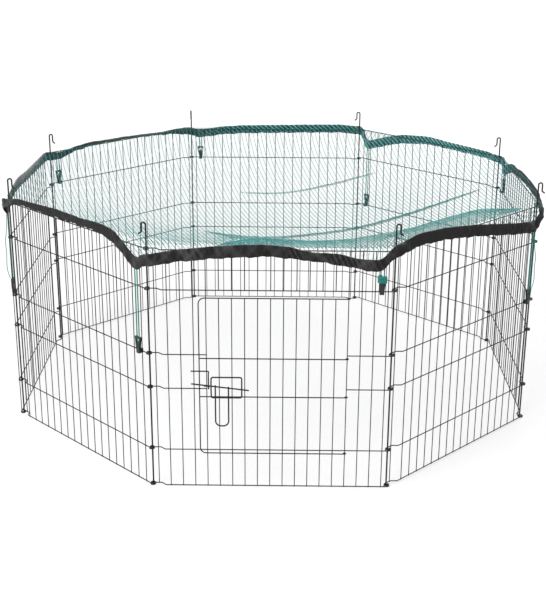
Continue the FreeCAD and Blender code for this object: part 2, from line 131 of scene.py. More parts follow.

# Where the hem is drawn into narrow slanting pleats: places, half widths in sides and strengths
HEM_PLEATS = ((0.20, 0.05, 0.35), (0.595, 0.025, 0.9), (0.79, 0.055, 1.0), (0.93, 0.04, 0.7),
              (1.80, 0.05, 0.5), (2.68, 0.05, 0.5), (3.52, 0.05, 0.5), (6.82, 0.05, 0.5),
              (7.80, 0.05, 0.6))
PLEAT_COUNT = 360  # pleats that would fit the whole ring
PLEAT_TALL, PLEAT_SINK = 1.9, 0.5  # height of a pleat, and how far it starts below the plain hem
PLEAT_SLANT = 3.4  # lean of a pleat over half the hem's height, in radians of its wave

# The hem's wrinkles: waves in the ring, lean, size and phase; then where on a side they gather
HEM_WAVES = ((46, 0.9, 0.55, 0.0), (71, -1.4, 0.50, 1.9), (118, 1.8, 0.45, 4.0), (167, -2.2, 0.35, 0.7),
             (263, 0.8, 0.25, 2.6))
HEM_GATHERS = ((0.945, 0.10, 1.5), (0.02, 0.05, 1.5))
HEM_CALM = 0.45  # their mean strength elsewhere, which swells with these waves: count, size and phase
CALM_WAVES = ((5, 0.25, 0.5), (13, 0.2, 0.0))

# The hem's section: angles where its loop begins and ends, powers that square it, roll and edge waves
HEM_LOOP = (-94.0, -446.0)  # degrees
LOOP_FLARE, LOOP_RISE = 0.35, 0.8
HEM_ROLL = 0.9  # a hem rolled right down is this share thicker outside
INSIDE_RELIEF = -0.12  # share of the relief that shows inside, the other way round
EDGE_LOW, EDGE_HIGH = 1.0, 0.3  # shares of the edge waves at the lower edge and above it
EDGE_WAVES = ((0.0008, 97.0, 0.0), (0.0007, 171.0, 1.0), (0.0005, 311.0, 0.0))  # size, radians a metre, phase

# How level the net runs into the hem, from 0 (up or down to near its top edge) to 1: places round the ring
NET_LEVEL = ((0.00, 0.0), (5.05, 0.0), (5.20, 1.0), (6.92, 1.0), (7.05, 0.0))

# How the net lies over the top wires and hangs inside the hem
NET_OVER = 0.0021  # over the middle of a raised top wire
NET_UP = TOP_RAIL + RAIL_STAGGER + NET_OVER
NET_OUT = 0.0094  # where it hangs, outside the rods' line
LIP_WIDE = 0.010  # width of its lip, from over the top wires out to there
SEWN_SHARE = 0.83  # share of the hem's height where it ends
NET_SPARE = 0.003  # length of it past that end
SAG_INSET, SAG_POWER = 0.012, 2.2  # its sag's end inside the rods' line, and the power of its curve
SAG_SOFT = 10  # power of the soft maximum over the sides
RIPPLE = 0.0022  # height of its ripples, whose rows give size, radians a metre along x and y, and phase
RIPPLES = ((1.0, 9.0, 4.0, 0.6), (0.7, -6.0, 11.0, 0.0), (0.5, 17.0, -5.0, 0.0))
ROD_ROOM = 0.009  # left free round a rod's middle
NET_LONG, NET_WIDE = 0.80, 0.95  # half sizes of its cut, along the strands and across them
CROSS_LIFT = 0.6  # of a strand's thickness, for the strands that cross over

# The net's loose folds: a ridge by places round the rim and heights, and creases by points and heights
RIDGE_PLACES = (0.26, 0.32, 0.40, 0.47, 0.55, 0.66, 0.76, 0.84, 0.92, 1.00, 1.16, 1.34, 1.53, 1.64, 1.75,
                1.90)
RIDGE_HEIGHTS = (0.001, 0.009, 0.014, 0.015, 0.014, 0.012, 0.013, 0.016, 0.022, 0.029, 0.026, 0.026, 0.024,
                 0.021, 0.012, 0.001)
MIDDLE_CREASE = ((-0.107, 0.009), (-0.041, -0.004), (0.014, -0.012), (0.057, 0.001), (0.109, 0.033),
                 (0.143, 0.063), (0.188, 0.099), (0.234, 0.147), (0.281, 0.191), (0.312, 0.216))
FRONT_CREASE = ((-0.172, -0.467), (-0.139, -0.515), (-0.098, -0.548), (-0.049, -0.564), (0.000, -0.567),
                (0.040, -0.550), (0.090, -0.515), (0.140, -0.490), (0.210, -0.449), (0.285, -0.382),
                (0.363, -0.295), (0.447, -0.195), (0.533, -0.110), (0.589, -0.060))
MIDDLE_TALLS = (0.001, 0.004, 0.005, 0.007, 0.006, 0.001)
FRONT_TALLS = (0.002, 0.006, 0.006, 0.006, 0.007, 0.007, 0.006, 0.005, 0.001)
RIDGE_LINE = 0.030  # line inside the rods' line that a ridge is measured from, and the spread of its corners
RIDGE_FRONT, RIDGE_BACK = 0.027, 0.047  # footprints of its two flanks
RIDGE_FRONT_WAY, RIDGE_BACK_WAY = 0.038, 0.052  # their strands' ways across
RIDGE_EDGE, RIDGE_FULL = 0.001, 0.020  # its start inside the rods' line; height with the full footprint
RIDGE_RIPPLE, RIDGE_PACE = 0.04, 70.0  # its crest's ripple: share of its height, and radians a metre
SLACK_BEGIN, SLACK_END = -0.168, 0.070  # the doubled net behind the front hem, from left to right
SLACK_INSET = 0.014  # doubled net begins this far inside the rods' line
SLACK_BACK, SLACK_PUFF = 0.12, 0.006  # its strands' way across and its height
SLACK_LEFT, SLACK_LONG, SLACK_WIDE = -0.58, 0.52, 0.26  # the doubled net by the front left side
FRONT_LIFT, LEFT_LIFT = 0.001, 0.0012  # of the two doubled nets over the net
CREASE_POINTS, CREASE_REACH, CREASE_SPREAD = 400, 40, 16.0  # a crease's path, and the bell that smooths it
CREASE_FOOT = 0.22  # half its footprint, as a share of the net folded into it
CREASE_RIPPLE, CREASE_PACE = 0.10, 120.0  # its ripple: share of its height, and radians a metre
THIN_END = 0.15  # share of a strand's thickness left at the ends of a patch

ROUND_STEP = 0.001  # between the points that ring tables hold
ROUND_COUNT = int(round(SIDES * PANEL_WIDTH / ROUND_STEP))
ROUND = np.arange(ROUND_COUNT) / ROUND_COUNT * SIDES  # places round the ring, in sides

# Lamps: name, place, size and share of the main lamp's power
LAMPS = (("key_lamp", (-2.6, -3.4, 4.2), 3.2, 1.0), ("fill_lamp", (2.2, 2.6, 3.8), 3.0, 0.4))
LAMP_AIM = (0, 0, 0.3)
FLOOR_HALF, FLOOR_UP = 14.0, -0.0006


def length(label, description, default, least=0.0001):
    """A setting that is a length in metres."""
    return FloatProperty(name=label, description=description, unit="LENGTH", default=default, min=least)


def angle(label, description, degrees):
    """A setting that is an angle."""
    return FloatProperty(name=label, description=description, subtype="ANGLE", default=math.radians(degrees))


def number(label, description, default, least=0, unit="NONE"):
    """A setting that is a plain number, or one with another unit."""
    return FloatProperty(name=label, description=description, unit=unit, default=default, min=least)


def paint(label, description, default):
    """A setting that is a colour."""
    return FloatVectorProperty(name=label, description=description, subtype="COLOR", size=3, min=0, max=1,
                               default=default)


class WireSettings(bpy.types.PropertyGroup):
    """Finish of the coated wire."""
    colour: paint("Coating", "Colour of the wire's coating", (0.010, 0.010, 0.0105))
    scuff_colour: paint("Scuffs", "Colour of scuffed coating", (0.055, 0.055, 0.057))


class NetSettings(bpy.types.PropertyGroup):
    """Size and colour of the net."""
    mesh_size: length("Mesh size", "Distance between strands", 0.0118, 0.004)
    strand: length("Strand", "Thickness of a strand from front to back", 0.00155)
    cross: length("Cross strand", "Thickness of a strand from side to side", 0.00046)
    step: length("Step", "Length of one piece of strand", 0.006, 0.002)
    slant: angle("Slant", "Turn of the mesh against the door's side", 9.4)
    fan: number("Fan", "Share that the strands draw together in a metre", 0.16, -1)
    bend: length("Bend", "Bend of the strands to the right over a metre", 0.06, -1)
    sag: length("Sag", "How far the middle hangs under the rim", 0.050, 0)
    colour: paint("Net", "Colour of the net's strands", (0.020, 0.29, 0.275))
    # Folds is the strand colour painted paler: painted light that the standing folds catch
    lit_fold_colour: paint("Folds", "Colour of the net where it is folded", (0.045, 0.33, 0.315))
    # Lap is the strand colour painted much paler: painted light that the net bunched inside the hem catches
    lit_lap_colour: paint("Lap", "Colour of the net bunched inside the hem", (0.25, 0.57, 0.58))


class HemSettings(bpy.types.PropertyGroup):
    """Size and colour of the cloth hem."""
    thick: length("Thickness", "Thickness of the folded hem", 0.0046, 0.001)
    cloth: length("Cloth", "Thickness of its cloth", 0.0005)
    wrinkle: length("Wrinkles", "Height of its wrinkles", 0.0026, 0)
    colour: paint("Hem", "Colour of the hem's cloth", (0.012, 0.0116, 0.0119))


class TieSettings(bpy.types.PropertyGroup):
    """Size and colour of the corner ties."""
    cord: length("Cord", "Thickness of the elastic cord", 0.003, 0.001)
    tail: length("Tail", "Thickness of a cord's loose tail", 0.0018, 0.0005)
    slack: length("Slack", "Bow of a loose tail", 0.009, 0)
    cord_colour: paint("Cord", "Colour of the cord", (0.024, 0.30, 0.245))
    clip_colour: paint("Clip", "Colour of the clips", (0.006, 0.014, 0.013))


class StageSettings(bpy.types.PropertyGroup):
    """Camera and light of the studio."""
    eye: FloatVectorProperty(name="Camera", description="Place of the camera", subtype="TRANSLATION", size=3,
                             default=(0.024, -3.229, 1.385))
    pitch: angle("Pitch", "Camera's tilt down", 19.60)
    yaw: angle("Yaw", "Camera's turn to the left", 0.42)
    roll: angle("Roll", "Camera's roll", 0.34)
    lens: number("Lens", "Focal length in millimetres", 70.1, 1, "CAMERA")
    sky: number("Sky", "Strength of the even light", 0.27)
    key: number("Key", "Power of the main lamp in watts", 255.0, 0, "POWER")


class PetRunSettings(bpy.types.PropertyGroup):
    """All settings of the pet run."""
    wire: PointerProperty(type=WireSettings, name="Wire", description="Finish of the wire")
    net: PointerProperty(type=NetSettings, name="Net", description="Size and colours of the net")
    hem: PointerProperty(type=HemSettings, name="Hem", description="Size and colour of the hem")
    tie: PointerProperty(type=TieSettings, name="Ties", description="Sizes and colours of the ties")
    stage: PointerProperty(type=StageSettings, name="Stage", description="Camera and light")


def side_axes():
    """Unit directions along and out of each side: side k's long direction is k eighths of a turn from +X."""
    turn = 2 * HALF_TURN * np.arange(SIDES)
    return np.stack([np.cos(turn), np.sin(turn)], 1), np.stack([np.sin(turn), -np.cos(turn)], 1)


def raised(plan, up):
    """Points over a plan, at their heights."""
    return np.concatenate([plan, up[..., None]], -1)


def on_side(side, along, out, up):
    """Points on one side: along it from its left rod, out from the rods' line, and up from the floor."""
    direction, outward = side_axes()
    along, out, up = np.broadcast_arrays(along, out, up)
    plan = outward[side] * (RING_IN + out)[..., None] + direction[side] * (along - PANEL_WIDTH / 2)[..., None]
    return raised(plan, up)


def unit(vectors):
    """Vectors made 1 long."""
    return vectors / np.maximum(np.linalg.norm(vectors, axis=-1, keepdims=True), 1e-9)


def distances(line):
    """Distance along a line of points, from its start to each of them."""
    return np.concatenate([[0], np.cumsum(np.linalg.norm(np.diff(line, axis=0), axis=1))])


def bell(reach, spread):
    """A bell curve over whole steps to either side, with its spread in steps, that adds up to 1."""
    curve = np.exp(-0.5 * (np.arange(-reach, reach + 1) / spread) ** 2)
    return curve / curve.sum()


def bumps(place, table, power=2):
    """Sum of bumps over places: each falls off as e to the minus power of the distance from its middle,
    counted in its half widths. A row of the table gives one bump's middle, half width and height."""
    return sum(size * np.exp(-((place - spot) / wide) ** power) for spot, wide, size in table)


def powered(wave, power):
    """A wave whose size is raised to a power and whose sign is kept, which makes it squarer or sharper."""
    return np.sign(wave) * np.abs(wave) ** power


def smoothed(values, spread):
    """Values round the closed ring, averaged with a bell curve of that spread in metres."""
    reach = int(4 * spread / ROUND_STEP)
    wrapped = np.concatenate([values[-reach:], values, values[:reach]])
    return np.convolve(wrapped, bell(reach, spread / ROUND_STEP), mode="valid")


def ring_at(table, place):
    """A ring table's values at any places round the ring, counted in sides: a number each, or a row each."""
    if table.ndim == 1:
        return np.interp(place, ROUND, table, period=SIDES)
    return np.stack([ring_at(column, place) for column in table.T], -1)


def round_table(table):
    """Values all round the ring from a table of places and values, straight between them."""
    return np.interp(ROUND, *np.transpose(table), period=SIDES)


def hem_edges():
    """Heights of the hem's two edges round the ring: straight runs between the tables' places, then
    softened."""
    rises = np.array(HEM_RISES)
    rows = np.concatenate([rises, rises[:, -1:], np.roll(rises[:, :1], -1, 0)], 1)
    tie = np.roll(np.add(TIE_PLACES, DIP_SHIFTS), -1)[:, None]
    dips = np.concatenate([tie - DIP_LEFT, tie + DIP_RIGHT], 1) / PANEL_WIDTH
    shares = np.concatenate([np.tile(HEM_PLACES, (SIDES, 1)), dips, np.full((SIDES, 1), HEM_LAST)], 1)
    places = np.arange(SIDES)[:, None] + shares
    middle = np.interp(ROUND, places.ravel(), TOP_RAIL + rows.ravel() * HEM_TALL, period=SIDES)
    low = smoothed(middle, HEM_SOFT) - HEM_TALL / 2
    return low, low + HEM_TALL * smoothed(round_table(HEM_SHOWN), SHOWN_SOFT)


def rim_plan(out, bend):
    """Plan of a line round the ring, a distance out from the rods' line, with softened corners, and its
    outward direction, a quarter turn to the right of the way it runs."""
    direction, outward = side_axes()
    side = ROUND.astype(int)
    reach = RING_IN + out
    share = (ROUND - side - 0.5) * 2 * math.tan(HALF_TURN) * reach
    sharp = outward[side] * reach + direction[side] * share[:, None]
    plan = np.stack([smoothed(sharp[:, 0], bend), smoothed(sharp[:, 1], bend)], 1)
    ahead = unit(np.roll(plan, -1, 0) - np.roll(plan, 1, 0))
    return plan, np.stack([ahead[:, 1], -ahead[:, 0]], 1)


def grid_corners(rows, columns, wrap_columns=False):
    """Row and column of the four corners of each quad on a grid, not yet wrapped round."""
    row, column = (part.ravel() for part in np.indices((rows - 1, columns - 1 + wrap_columns)))
    return np.stack([row, row, row + 1, row + 1], 1), np.stack([column, column + 1, column + 1, column], 1)


def new_piece(name, points, quads, triangles=None, uv=None):
    """A mesh object from arrays of points, quads and triangles, smooth, with a UV pair per quad corner if
    given."""
    triangles = np.zeros((0, 3), np.int32) if triangles is None else triangles
    corners = np.concatenate([quads.ravel(), triangles.ravel()]).astype(np.int32)
    used, corners = np.unique(corners, return_inverse=True)
    starts = np.concatenate([np.arange(len(quads)) * 4, len(quads) * 4 + np.arange(len(triangles)) * 3])
    mesh = bpy.data.meshes.new(name)
    mesh.vertices.add(len(used))
    mesh.vertices.foreach_set("co", points.reshape(-1, 3)[used].astype(np.float32).ravel())
    mesh.loops.add(len(corners))
    mesh.loops.foreach_set("vertex_index", corners.astype(np.int32).ravel())
    mesh.polygons.add(len(starts))
    mesh.polygons.foreach_set("loop_start", starts.astype(np.int32))
    mesh.update(calc_edges=True)
    mesh.polygons.foreach_set("use_smooth", np.ones(len(starts), bool))
    if uv is not None:
        mesh.uv_layers.new(name="cloth").data.foreach_set("uv", uv.astype(np.float32).ravel())
    mesh.update()
    piece = bpy.data.objects.new(name, mesh)
    bpy.context.scene.collection.objects.link(piece)
    return piece


def applied(piece):
    """The piece with its modifiers made part of its mesh."""
    graph = bpy.context.evaluated_depsgraph_get()
    mesh = bpy.data.meshes.new_from_object(piece.evaluated_get(graph))
    piece.modifiers.clear()
    piece.data = mesh
    return piece


def dressed(piece, material, node):
    """Gives a cover piece its material and slot, hides its CAD node, and puts it in the cover body."""
    piece.data.materials.clear()
    piece.data.materials.append(material)
    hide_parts(node)
    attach(piece, "cover")
    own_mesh(piece)


def rings(lines, side, count, first, thick):
    """Rings of points across lines: round each point of a line, at right angles to its way, turned from the
    direction that is at right angles to the way and to the side direction. The thickness is one length, or
    one for each point."""
    ahead = unit(np.gradient(lines, axis=-2))
    aside = np.cross(ahead, side)
    steep = np.linalg.norm(aside, axis=-1, keepdims=True) < 1e-4
    aside = unit(np.where(steep, (1.0, 0.0, 0.0), aside))
    lift = np.cross(aside, ahead)
    turn = first + 2 * math.pi / count * np.arange(count)
    ring = np.cos(turn)[:, None] * aside[..., None, :] + np.sin(turn)[:, None] * lift[..., None, :]
    return lines[..., None, :] + np.reshape(thick, np.shape(thick) + (1, 1)) / 2 * ring


def strand_mesh(lines, inside, thick):
    """Three-sided tubes along lines of points, an array of (lines, steps, 3): neighbouring rings that are
    both inside are joined, and each run's two ends are closed."""
    steps = lines.shape[1]
    points = rings(lines, (0.0, 0.0, 1.0), 3, math.pi / 2, thick)
    kept = inside[:, :-1] & inside[:, 1:]
    line, step = np.nonzero(kept)
    near = (line * steps + step)[:, None] * 3 + np.arange(3)
    near_next = np.roll(near, -1, 1)
    quads = np.stack([near, near + 3, near_next + 3, near_next], -1).reshape(-1, 4)
    before = np.pad(kept, ((0, 0), (1, 0)))[:, :-1]
    after = np.pad(kept, ((0, 0), (0, 1)))[:, 1:]
    starts, ends = near[~before[kept]], near[~after[kept]][:, ::-1] + 3
    return points, quads, np.concatenate([starts, ends])


def tube_mesh(line, thick, around):
    """A round tube along a line of points, with closed ends and a UV map in metres: each ring lies across
    the line's direction, and is measured from one fixed side direction, out of the run, so that it hardly
    twists."""
    points = rings(line, unit(line.mean(0) * (1.0, 1.0, 0.0)), around, 0.0, thick)
    points = np.concatenate([points.reshape(-1, 3), line[:1], line[-1:]])
    row, column = grid_corners(len(line), around, wrap_columns=True)
    quads = (row * around + column % around)[:, ::-1]
    uv = np.stack([distances(line)[row], column * (math.pi * thick / around)], -1)[:, ::-1]
    count = len(line) * around
    spin = np.arange(around)
    ahead_spin = (spin + 1) % around
    last = count - around
    start = np.stack([np.full(around, count), spin, ahead_spin], 1)
    end = np.stack([last + ahead_spin, last + spin, np.full(around, count + 1)], 1)
    uv = np.concatenate([uv.reshape(-1, 2), np.zeros((2 * around * 3, 2))])
    return points, quads, np.concatenate([start, end]), uv


def smooth_route(points):
    """Points along the smooth NURBS line that a cord's route controls."""
    curve = bpy.data.curves.new("route", "CURVE")
    curve.dimensions = "3D"
    curve.resolution_u = 14
    spline = curve.splines.new("NURBS")
    spline.points.add(len(points) - 1)
    spline.points.foreach_set("co", np.concatenate([points, np.ones((len(points), 1))], 1).ravel())
    spline.order_u = 3
    spline.use_endpoint_u = True
    bare = bpy.data.objects.new("route", curve)
    mesh = bpy.data.meshes.new_from_object(bare)
    line = np.zeros(len(mesh.vertices) * 3, np.float32)
    mesh.vertices.foreach_get("co", line)
    bpy.data.objects.remove(bare)
    bpy.data.curves.remove(curve)
    bpy.data.meshes.remove(mesh)
    return line.reshape(-1, 3).astype(float)


def net_points(flat, net, lift=0.0):
    """The net's place over points of its flat cut, and whether each is part of it. Inside the top wires it
    sags as a power of the distance from the middle, a soft maximum over the sides. It lies level over the
    wires, and from there it rises to the hem where the hem stands higher, or drops down outside to it. It
    leaves a gap round each rod."""
    direction, outward = side_axes()
    reach = flat @ outward.T
    side = reach.argmax(-1)
    far = np.maximum(reach.max(-1), 1e-6)
    across = (flat * direction[side]).sum(-1)
    lip = RING_IN + NET_OUT - LIP_WIDE
    place = side + 0.5 + across / (2 * far * math.tan(HALF_TURN))
    low, high = hem_edges()
    sewn = low + SEWN_SHARE * (high - low)
    end = sewn + round_table(NET_LEVEL) * (np.clip(NET_UP, low, high) - sewn)
    fall = NET_UP - ring_at(end, place)
    over = np.maximum(far - lip, 0.0)
    rise_way = np.hypot(LIP_WIDE, fall)
    share = np.minimum(over / rise_way, 1.0)
    hangs = fall > 0
    out = lip + np.where(hangs, np.minimum(over, LIP_WIDE), LIP_WIDE * share)
    edge_up = NET_UP - np.where(hangs, np.maximum(over - LIP_WIDE, 0.0), fall * share)
    soft = (np.maximum(reach, 0.0) ** SAG_SOFT).sum(-1) ** (1 / SAG_SOFT)
    depth = 1 - np.minimum(soft / (RING_IN - SAG_INSET), 1.0) ** SAG_POWER
    x, y = flat[..., 0], flat[..., 1]
    ripple = sum(size * np.sin(x_pace * x + y_pace * y + phase) for size, x_pace, y_pace, phase in RIPPLES)
    up = np.where(over > 0, edge_up, NET_UP - net.sag * depth + RIPPLE * depth * ripple)
    scale = np.where(over > 0, out / far, 1.0)
    plan = outward[side] * (far * scale)[..., None] + direction[side] * (across * scale)[..., None]
    limit = np.where(hangs, LIP_WIDE + fall, rise_way) + NET_SPARE
    corner = 2 * HALF_TURN * np.arange(SIDES) - math.pi / 2 - HALF_TURN
    rods = ROD_RADIUS * np.stack([np.cos(corner), np.sin(corner)], 1)
    clear = (np.linalg.norm(plan[..., None, :] - rods, axis=-1) > ROD_ROOM).all(-1)
    return raised(plan, up + lift), (over <= limit) & clear


def over_net(flat, lift):
    """Points of the plan, lifted over the net's own height there."""
    return raised(flat, net_points(flat, bpy.context.scene.pet_run.net)[0][..., 2] + lift)


def patch_strands(surface, long, wide, pitch, step, leans, thick, fade, ends):
    """Slanting families of strands over a patch: lines that go along it by the lean's share of their way
    across, carried onto the surface, which is a function of metres along and metres across. The strands get
    thinner across the patch, in step with the distance, until they have lost the share that fade gives, and
    along it they thin out over the ends' length."""
    spread = pitch * math.sqrt(2)
    starts = np.arange(-wide, long + wide, spread)
    across = np.linspace(0, wide, max(3, int(wide * math.sqrt(2) / step)))
    sets = []
    for lean in leans:
        along = starts[:, None] + lean * (across - wide / 2)[None, :]
        inside = (along >= 0) & (along <= long)
        spare = np.clip(np.minimum(along, long - along) / ends, THIN_END, 1.0)
        sets.append((surface(np.clip(along, 0, long), np.broadcast_to(across, along.shape)), inside,
                     thick * (1 - fade * across / wide) * spare))
    return [np.concatenate(parts) for parts in zip(*sets)]


def front_ridge(back):
    """One flank of the loose fold that stands up along the front and the front right side: from the top
    wire up to the crest, or from the crest down to the net behind it. The table of heights round the rim
    sets its height, and its footprint narrows with it."""
    plan, outward = rim_plan(-RIDGE_LINE, RIDGE_LINE)
    begin, wide = RIDGE_PLACES[0], RIDGE_BACK_WAY if back else RIDGE_FRONT_WAY

    def surface(along, across):
        place = begin + along / PANEL_WIDTH
        share = across / wide
        ripple = 1 + RIDGE_RIPPLE * np.sin(along * RIDGE_PACE) * share
        tall = np.interp(place, RIDGE_PLACES, RIDGE_HEIGHTS) * ripple
        foot = np.minimum(tall / RIDGE_FULL, 1.0)
        inward = RIDGE_EDGE + (RIDGE_FRONT + RIDGE_BACK * share if back else RIDGE_FRONT * share) * foot
        flat = ring_at(plan, place) + ring_at(outward, place) * (RIDGE_LINE - inward)[..., None]
        if back:
            behind = over_net(flat, 0.0)[..., 2]
            return raised(flat, NET_UP + (behind - NET_UP) * share + tall * (1 - share))
        return raised(flat, NET_UP + tall * share)

    return surface, (RIDGE_PLACES[-1] - begin) * PANEL_WIDTH, wide


def slack_left():
    """Slack net by the front left side, doubled along the hem and let out towards the middle: a strip of
    even width inside the front and the front left top wires, just over the net."""
    inside = RING_IN - SLACK_INSET

    def surface(along, across):
        x = SLACK_LEFT + along
        y = np.maximum(-inside, -inside * math.sqrt(2) - x) + across
        return over_net(np.stack([x, y], -1), LEFT_LIFT)

    return surface, SLACK_LONG, SLACK_WIDE


def slack_front():
    """Slack net that lies doubled behind the front hem: a low blanket from the top wire back to the front
    crease, puffed up as a sine wave both ways."""
    crease_x, crease_y = np.array(FRONT_CREASE).T
    long, front = SLACK_END - SLACK_BEGIN, SLACK_INSET - RING_IN

    def surface(along, across):
        x = SLACK_BEGIN + along
        share = across / SLACK_BACK
        y = front + (np.interp(x, crease_x, crease_y) - front) * share
        puff = np.sin(math.pi * share) * np.sin(math.pi * np.clip(along / long, 0, 1))
        return over_net(np.stack([x, y], -1), FRONT_LIFT + SLACK_PUFF * puff)

    return surface, long, SLACK_BACK


def crease(points, talls, wide):
    """A pinched fold of the net along a smoothed path: a steep little roof over the net, its heights spaced
    evenly along the path."""
    path = np.array(points)
    run = distances(path)
    fine = np.linspace(0, run[-1], CREASE_POINTS)
    ways = [np.pad(np.interp(fine, run, way), CREASE_REACH, mode="edge") for way in path.T]
    line = np.stack([np.convolve(way, bell(CREASE_REACH, CREASE_SPREAD), "valid") for way in ways], 1)
    ahead = unit(np.gradient(line, axis=0))

    def surface(along, across):
        x, y, ahead_x, ahead_y = (np.interp(along, fine, way) for way in (*line.T, *ahead.T))
        lean = across / wide * 2 - 1
        aside = lean * wide * CREASE_FOOT
        flat = np.stack([x - ahead_y * aside, y + ahead_x * aside], -1)
        tall = np.interp(along, np.linspace(0, run[-1], len(talls)), talls)
        ripple = 1 + CREASE_RIPPLE * np.sin(along * CREASE_PACE)
        return over_net(flat, tall * (1 - np.abs(lean)) * ripple)

    return surface, run[-1], wide


def hem_lap(begin, end, out):
    """The net's edge where it hangs down inside the hem, between the standing wires and the cloth: a strip
    from the hem's lower edge to its upper one, a distance out from the rods' line."""
    plan = rim_plan(out, HEM_BEND)[0]
    low, high = hem_edges()

    def surface(along, across):
        place = begin + along / PANEL_WIDTH
        share = across / HEM_TALL
        return raised(ring_at(plan, place), ring_at(low, place) * (1 - share) + ring_at(high, place) * share)

    return surface, (end - begin) * PANEL_WIDTH, HEM_TALL


def set_inputs(tree, node, inputs):
    """Gives a node's inputs their values, or links them from sockets."""
    for key, value in inputs.items():
        if isinstance(value, bpy.types.NodeSocket):
            tree.links.new(value, node.inputs[key])
        else:
            node.inputs[key].default_value = value
    return node


def add_node(tree, kind, inputs=None, **settings):
    """A node with its settings and inputs."""
    node = tree.nodes.new(kind)
    for key, value in settings.items():
        setattr(node, key, value)
    return set_inputs(tree, node, inputs or {})


def new_material(name):
    """A material with a Principled shader on its output, and the socket that gives a point's place."""
    material = bpy.data.materials.new(name)
    material.use_nodes = True
    tree = material.node_tree
    tree.nodes.clear()
    shader = add_node(tree, "ShaderNodeBsdfPrincipled")
    add_node(tree, "ShaderNodeOutputMaterial", {"Surface": shader.outputs["BSDF"]})
    return material, tree, shader, add_node(tree, "ShaderNodeTexCoord").outputs["Object"]


def mixed(tree, factor, low, high):
    """A colour between two others; each is an RGB triple or a socket."""
    low, high = (end if isinstance(end, bpy.types.NodeSocket) else (*end, 1) for end in (low, high))
    return add_node(tree, "ShaderNodeMix", {0: factor, 6: low, 7: high}, data_type="RGBA").outputs[2]


def ranged(tree, value, low, high, begin=0.0, end=1.0):
    """A value carried from one range, begin to end, onto another, low to high, and held there."""
    return add_node(tree, "ShaderNodeMapRange", {"Value": value, "From Min": begin, "From Max": end,
                                                 "To Min": low, "To Max": high}).outputs["Result"]


def combined(tree, way, first, second):
    """Two values put together the named way."""
    return add_node(tree, "ShaderNodeMath", {0: first, 1: second}, operation=way).outputs["Value"]


def noise(tree, vector, scale, detail=2.0):
    """A noise pattern."""
    inputs = {"Vector": vector, "Scale": scale, "Detail": detail}
    return add_node(tree, "ShaderNodeTexNoise", inputs).outputs["Fac"]


def mottle(tree, source):
    """Soft cloudy variation: noise spread over the whole range from 0 to 1."""
    return ranged(tree, noise(tree, source["Vector"], source["Scale"], 3.0), 0.0, 1.0, 0.32, 0.68)


def scuffs(tree, source):
    """Small sparse marks: the top of a fine noise, thinned by a coarser one."""
    marks = ranged(tree, noise(tree, source["Vector"], source["Scale"]), 0.0, 1.0, 0.60, 0.72)
    patches = ranged(tree, noise(tree, source["Vector"], 14.0), 0.0, 1.0, 0.45, 0.65)
    return combined(tree, "MULTIPLY", combined(tree, "MULTIPLY", marks, patches), source["Amount"])


def weave(tree, source):
    """Threads over and under: two crossed wave patterns on the cloth's own map, the higher one on top."""
    waves = [add_node(tree, "ShaderNodeTexWave", {"Vector": source["Vector"], "Scale": source["Threads"]},
                      wave_type="BANDS", bands_direction=way).outputs["Fac"] for way in ("X", "Y")]
    return combined(tree, "MAXIMUM", *waves)


GROUPS = {"Mottle": (mottle, {"Scale": 40.0}), "Scuffs": (scuffs, {"Scale": 260.0, "Amount": 0.5}),
          "Weave": (weave, {"Threads": 1500.0})}


def new_group(name):
    """A shared shader group: a vector and float inputs, and one float output, the mask that its function
    makes."""
    fill, inputs = GROUPS[name]
    group = bpy.data.node_groups.new(name, "ShaderNodeTree")
    group.interface.new_socket("Vector", in_out="INPUT", socket_type="NodeSocketVector")
    for label, value in inputs.items():
        group.interface.new_socket(label, in_out="INPUT", socket_type="NodeSocketFloat").default_value = value
    group.interface.new_socket("Mask", in_out="OUTPUT", socket_type="NodeSocketFloat")
    source = add_node(group, "NodeGroupInput").outputs
    add_node(group, "NodeGroupOutput", {"Mask": fill(group, source)})
    return group


def group_mask(tree, name, vector, **values):
    """The mask of a shared shader group with its own values; the group is made at its first use."""
    group = bpy.data.node_groups.get(name) or new_group(name)
    return add_node(tree, "ShaderNodeGroup", {"Vector": vector, **values}, node_tree=group).outputs["Mask"]


def shade(colour, factor, added=0.0):
    """A colour made darker or paler."""
    return tuple(min(1.0, part * factor + added) for part in colour)


def skin(tree, shader, colour, roughness, height, strength, distance):
    """Gives a shader its colour, roughness and relief."""
    bump = add_node(tree, "ShaderNodeBump", {"Height": height, "Strength": strength, "Distance": distance})
    set_inputs(tree, shader, {"Base Color": colour, "Roughness": roughness, "Normal": bump.outputs["Normal"]})


def wire_material(name, wire, lightness=1.0):
    """Dark coated steel wire: slightly uneven gloss and colour, a fine skin, and a few pale scuffs."""
    material, tree, shader, place = new_material(name)
    cloud = group_mask(tree, "Mottle", place, Scale=30.0)
    marks = group_mask(tree, "Scuffs", place, Scale=240.0, Amount=0.7)
    plain = mixed(tree, cloud, shade(wire.colour, 0.75 * lightness), shade(wire.colour, 1.35 * lightness))
    colour = mixed(tree, marks, plain, wire.scuff_colour)
    shader.inputs["Specular IOR Level"].default_value = 0.3
    skin(tree, shader, colour, ranged(tree, cloud, 0.34, 0.52), noise(tree, place, 1500.0), 0.12, 0.0002)
    return material


def net_material(name, plain):
    """Green polyethylene strand: waxy, with lighter and darker lengths."""
    material, tree, shader, place = new_material(name)
    cloud = group_mask(tree, "Mottle", place, Scale=22.0)
    fibre = group_mask(tree, "Mottle", place, Scale=420.0)
    colour = mixed(tree, cloud, shade(plain, 0.72), shade(plain, 1.25, 0.01))
    colour = mixed(tree, fibre, colour, plain)
    skin(tree, shader, colour, ranged(tree, fibre, 0.38, 0.6), fibre, 0.2, 0.0001)
    return material


